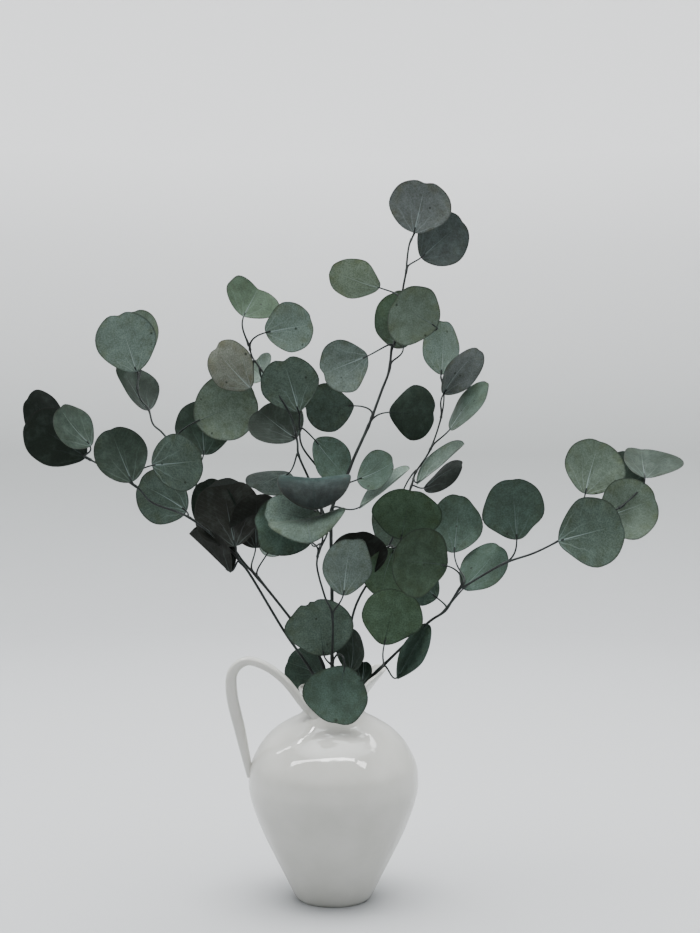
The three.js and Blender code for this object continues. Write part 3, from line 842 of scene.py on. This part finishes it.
def blade(item, number):
    chance = np.random.RandomState(number + SEED)
    base, long, along, side, face = placed(item)
    cols, towards, turn, out, wide, reach = outline(item, long, chance)
    fold = math.radians(item.get("fold", 0) + chance.uniform(*FOLD))
    lift = lifted(item, towards, turn, out, wide, fold, chance)
    across = wide * math.cos(fold)
    middle = base + reach[..., None] * along + across[..., None] * side + lift[..., None] * face
    normal = np.cross(np.gradient(middle, axis=1), np.gradient(middle, axis=0))
    normal /= np.maximum(np.linalg.norm(normal, axis=2), 1e-9)[..., None]
    if (normal @ face).mean() < 0:
        normal = -normal
    rim = np.clip(1 - np.maximum(np.abs(cols), np.abs(towards)) ** 8, 0.15, 1)[..., None]
    front = middle + normal * THICK / 2 * rim
    back = middle - normal * THICK / 2 * rim
    points = np.vstack([front.reshape(-1, 3), back.reshape(-1, 3)]) / 1000

    tone = np.array(linear(TONES[item["tone"]]))
    tone[:3] *= 1 + chance.uniform(-TONE_RANGE, TONE_RANGE)
    before_tip = np.clip(1 - reach / long, 0, 1)
    # Painted shade: the blade's colour is darkened towards its base, as strongly as the table asks.
    dusk = np.clip(1 - item.get("dusk", 0.0) * before_tip, 0.15, 1)
    place = np.stack([wide, reach, 0 * wide], axis=2).reshape(-1, 3)
    edge = np.maximum(out, np.abs(cols) * (np.abs(towards) < 0.98))
    vein = item.get("vein", VEINS["pale" if item["tone"] in PALE_VEINED else "other"])
    return points, dict(
        tone=np.tile(tone * dusk.reshape(-1, 1), (2, 1)),
        blade_mm=np.vstack([place, place]) + np.array([0, 0, number * PATTERN_STEP]),
        edge=np.tile(edge.reshape(-1), 2),
        vein=np.full(len(points), vein),
    )


# %% [markdown]
# ## Shoots and leaf stalks
# A stem is a chain of short shoots, a little thicker at each scar. A curve object with a bevel
# would do, but a mesh can carry the small swellings, so the same sweep as the handle's is used.
# A leaf stalk leaves along the stem, bends over and runs under the start of the midrib.

# %% Sweep shoots and stalks
SHOOT = dict(sides=10, each=8, lead=(0.2, 0.95, 0.1), swell=0.28, swell_length=0.012)
STALK = dict(
    sides=7, each=5, lead=(0.3, 0.9, 0.2), swell=0.5, swell_length=0.12,
    thick=1.9, narrowing=0.35, leaving=0.4, arriving=0.45, into=5, steps=15,
)
CUT_END, NECK_HEIGHT = 5.6, 160


def spline(points, share):
    """The place and direction at a share of a smooth curve through the points."""
    points = np.asarray(points, float)
    ends = np.vstack([2 * points[0] - points[1], points, 2 * points[-1] - points[-2]])
    place = min(max(share, 0), 1) * (len(points) - 1)
    k = min(int(place), len(points) - 2)
    t = place - k
    a, b, c, d = ends[k : k + 4]
    going = 0.5 * ((c - a) + 2 * (2 * a - 5 * b + 4 * c - d) * t
                   + 3 * (3 * b - a - 3 * c + d) * t**2)
    return between(a, b, c, d, t), going / np.linalg.norm(going)


def routes_of(stem):
    """For each shoot its points, how many of them are inside the jug, and its thickness."""
    inside = [(*stem["foot"], CUT_END), (*stem["neck"], NECK_HEIGHT)]
    main = [np.array(p) / 1000 for p in inside] + [seen(p) for p in stem["route"]]
    routes = {"main": (main, len(inside), stem["thick"])}
    for key, branch in stem.get("branches", {}).items():
        points = [seen(stem["route"][branch["start"]])] + [seen(p) for p in branch["route"]]
        routes[key] = (points, 0, branch["thick"])
    return routes


def shoot(route, thick, scars):
    path = through(route, SHOOT["each"])
    share = np.linspace(0, 1, len(path))
    size = np.interp(share, [0, 1], [thick[0] / 2000, thick[1] / 2000])
    for scar in scars:
        near = np.exp(-(((share - scar) / SHOOT["swell_length"]) ** 2))
        size = size * (1 + SHOOT["swell"] * near)
    return sweep(path, np.stack([size, size], axis=1), SHOOT["sides"], SHOOT["lead"])


def stalk(item, root, growth):
    base, tip = seen(item["base"]), seen(item["tip"])
    along = (tip - base) / np.linalg.norm(tip - base)
    end = base + along * STALK["into"] / 1000
    if "by" in item:
        path = through([root, *[seen(p) for p in item["by"]], base, end], STALK["each"])
    else:
        span = np.linalg.norm(base - root)
        leaving = root + growth * span * STALK["leaving"]
        arriving = base - along * span * STALK["arriving"]
        t = np.linspace(0, 1, STALK["steps"])[:, None]
        path = ((1 - t) ** 3 * root + 3 * t * (1 - t) ** 2 * leaving
                + 3 * t**2 * (1 - t) * arriving + t**3 * end)
    share = np.linspace(0, 1, len(path))
    swell = STALK["swell"] * np.exp(-((share / STALK["swell_length"]) ** 2))
    size = STALK["thick"] / 2000 * (1 + swell - STALK["narrowing"] * share)
    return sweep(path, np.stack([size, size], axis=1), STALK["sides"], STALK["lead"])


# %% [markdown]
# ## The leafy stems
# Each stem is one mesh of its shoots, stalks and blades, with a leaf slot and a bark slot. Blades
# could be separate objects, but a stem is cut, moved and lifted out of the jug as one thing. What
# the leaf material reads is stored as point attributes, which the bark leaves at nought.

# %% Gather each stem
CARRIED = dict(
    tone=("FLOAT_COLOR", "color", (4,)),
    blade_mm=("FLOAT_VECTOR", "vector", (3,)),
    edge=("FLOAT", "value", ()),
    vein=("FLOAT", "value", ()),
)
LEAF_SLOT, BARK_SLOT = 0, 1


def grown_at(item, routes):
    """A leaf's shoot, and how far along it the leaf grows, from nought to one."""
    key = item.get("on", "main")
    route, inside, _ = routes[key]
    return key, min(1, (item["at"] + inside) / (len(route) - 1))


def leafy_stem(name, stem, number):
    """Number is that of the stem's first leaf."""
    points, faces, slots = [], [], []
    values = {key: [] for key in CARRIED}

    def gather(some_points, some_faces, slot, some=None):
        start = sum(len(p) for p in points)
        points.append(some_points)
        faces.extend(tuple(start + i for i in face) for face in some_faces)
        slots.extend([slot] * len(some_faces))
        for key, (_, _, shape) in CARRIED.items():
            values[key].append(some[key] if some else np.zeros((len(some_points), *shape)))

    routes = routes_of(stem)
    scars = {key: [] for key in routes}
    for item in stem["leaves"]:
        key, share = grown_at(item, routes)
        scars[key].append(share)
    for key, (route, _, thick) in routes.items():
        gather(*shoot(route, thick, scars[key]), BARK_SLOT)
    for item in stem["leaves"]:
        key, share = grown_at(item, routes)
        gather(*stalk(item, *spline(routes[key][0], share)), BARK_SLOT)
        some_points, some = blade(item, number)
        gather(some_points, SHEET, LEAF_SLOT, some)
        number += 1

    made = tidy_mesh(name, np.vstack(points), faces, sharp=60)
    for key, (kind, field, _) in CARRIED.items():
        layer = made.data.attributes.new(key, kind, "POINT")
        layer.data.foreach_set(field, np.concatenate(values[key]).astype(np.float32).ravel())
    made.data.materials.append(LEAF)
    made.data.materials.append(BARK)
    made.data.polygons.foreach_set("material_index", slots)
    return made


first_leaf = 0
for name, stem in STEMS.items():
    dress(leafy_stem(name + "_leaves", stem, first_leaf), name)
    first_leaf += len(stem["leaves"])

# %% [markdown]
# ## The pale bowl
# The jug stands on a pale floor that curves up into a round wall, so that no line shows where
# they meet, from any side. A flat plane would end in a horizon. It isn't part of the object. It
# is matt paper, which scatters light evenly and shows no shine: grey on the floor and low on the
# wall, which keeps the jug's lower half in soft shade, white higher up, and darker again in
# front of the jug. The rise from grey to white up the wall is also painted light: it paints the
# wall brighter towards the top, as light from above would.


# %% Floor and wall
def matt_paper():
    made, tree = material("matt_paper")
    place = add(tree, "TexCoord").outputs["Object"]
    split = add(tree, "SeparateXYZ", place)
    climb = add(tree, "MapRange", split.outputs["Z"], 0.0, 1.6)
    front = add(tree, "MapRange", split.outputs["Y"], -0.8, -2.6)
    # Partly the paper's colour and partly painted light: the wall is painted brighter towards the
    # top.
    paper_greys_and_painted_falloff = [(0.0, "#a7a8a9"), (0.25, "#999b9a"), (0.8, "#f6f6f6")]
    paper = add(tree, "ValToRGB", climb, stops=paper_greys_and_painted_falloff)
    shaded = add(tree, "ValToRGB", front, stops=[(0.0, "#ffffff"), (1.0, "#949596")])
    colour = add(tree, "Mix", 1.0, data_type="RGBA", blend_type="MULTIPLY", i6=paper, i7=shaded)
    shade = add(tree, "BsdfPrincipled", Base_Color=colour, Roughness=0.8)
    add(tree, "OutputMaterial", Surface=shade)
    return made


BOWL = dict(flat=1.9, bend=1.0, top=3.6, sides=64, steps=13)


def pale_bowl():
    flat, bend, sides = BOWL["flat"], BOWL["bend"], BOWL["sides"]
    curve = np.linspace(0, np.pi / 2, BOWL["steps"])
    line = [(flat + bend * math.sin(t), bend * (1 - math.cos(t))) for t in curve]
    line.append((flat + bend, BOWL["top"]))
    turns = np.linspace(0, 2 * np.pi, sides, endpoint=False)
    points = [(r * math.cos(t), r * math.sin(t), z) for r, z in line for t in turns]
    faces = [tuple(range(sides))]
    for row in range(len(line) - 1):
        a, b = row * sides, (row + 1) * sides
        for k in range(sides):
            n = (k + 1) % sides
            faces.append((a + k, a + n, b + n, b + k))
    made = tidy_mesh("pale_bowl", points, faces)
    made.data.materials.append(matt_paper())
    print("bowl", 2 * (flat + bend), "m across")


pale_bowl()

# %% [markdown]
# ## Light
# The room's light comes from above: a wide ceiling panel and a sky that is bright only overhead.
# A strip washes the wall, and a weak panel in front keeps the leaves that face the viewer from
# going black. Seven narrow lamps show only as reflections: they are the windows and rails whose
# bent streaks lie in the glaze. Lamps can be turned by hand; here each is given by its two ends,
# its width and its power in watts, and faces a point.


# %% Lamps
def lamp(name, ends, width, power, aim=(0, 0, 0.2), mirrored=False):
    """A soft strip or panel between two ends; a mirrored one shows only as a reflection."""
    start, end = (np.array(p, float) for p in ends)
    across = (end - start) / np.linalg.norm(end - start)
    back = (start + end) / 2 - np.array(aim, float)
    back = back - across * (back @ across)
    back /= np.linalg.norm(back)
    data = bpy.data.lights.new(name, "AREA")
    data.shape = "RECTANGLE"
    data.size, data.size_y = np.linalg.norm(end - start), width
    data.energy = power
    made = bpy.data.objects.new(name, data)
    bpy.context.scene.collection.objects.link(made)
    turn = np.eye(4)
    turn[:3, 0], turn[:3, 1], turn[:3, 2] = across, np.cross(back, across), back
    turn[:3, 3] = (start + end) / 2
    made.matrix_world = Matrix(turn.tolist())
    made.visible_camera = False
    made.visible_glossy, made.visible_diffuse = mirrored, not mirrored


lamp("ceiling", [(-1.2, -0.1, 2.4), (1.2, -0.1, 2.4)], 1.5, 98, aim=(0, -0.1, 0.3))
lamp("wall_wash", [(-1.5, 0.6, 2.6), (1.5, 0.6, 2.6)], 0.4, 36, aim=(0, 2.9, 1.6))
lamp("front_panel", [(-0.7, -2.0, 1.8), (1.1, -2.0, 1.9)], 1.0, 2, aim=(0, 0, 0.4))
for name, ends, width, power in (
    ("window_left", [(-0.974, -0.362, 0.804), (-0.29, -0.753, 1.069)], 0.08, 3.6),
    ("window_right", [(-0.29, -0.753, 1.069), (0.53, -0.62, 1.062)], 0.085, 5.6),
    ("window_end", [(0.6, -0.638, 1.0), (0.8, -0.6, 0.86)], 0.13, 1.8),
    ("left_rail", [(-0.33, 0.53, 1.17), (-0.7, 0.12, 1.12)], 0.07, 3.2),
    ("left_rail_end", [(-0.8, 0.14, 1.03), (-1.03, 0.3, 0.72)], 0.07, 1.2),
    ("right_rail", [(0.507, 0.523, 1.09), (0.857, -0.016, 1.0)], 0.16, 3.0),
    ("back_rail", [(-0.15, 0.57, 1.18), (0.35, 0.6, 1.17)], 0.05, 2.2),
):
    lamp(name, ends, width, power, mirrored=True)
print("lamps", len(bpy.data.lights))

# %% [markdown]
# ## Sky
# A sky texture would tint the white glaze, so the sky is one near-white colour. Its strength
# follows the direction: faint at the sides, and rising to full light near the zenith.

# %% Overhead sky
SKY = dict(colour="#e3e7ea", faint=0.06, full=6.6, from_height=0.62, to_height=0.95)


def overhead_sky():
    world = bpy.data.worlds.new("studio")
    bpy.context.scene.world = world
    world.use_nodes = True
    tree = world.node_tree
    direction = add(tree, "TexCoord").outputs["Generated"]
    height = add(tree, "SeparateXYZ", direction).outputs["Z"]
    limits = SKY["from_height"], SKY["to_height"], SKY["faint"], SKY["full"]
    strength = add(tree, "MapRange", height, *limits)
    background = tree.nodes["Background"].inputs
    background["Color"].default_value = linear(SKY["colour"])
    tree.links.new(strength.outputs["Result"], background["Strength"])
    print("sky", world.name)


overhead_sky()
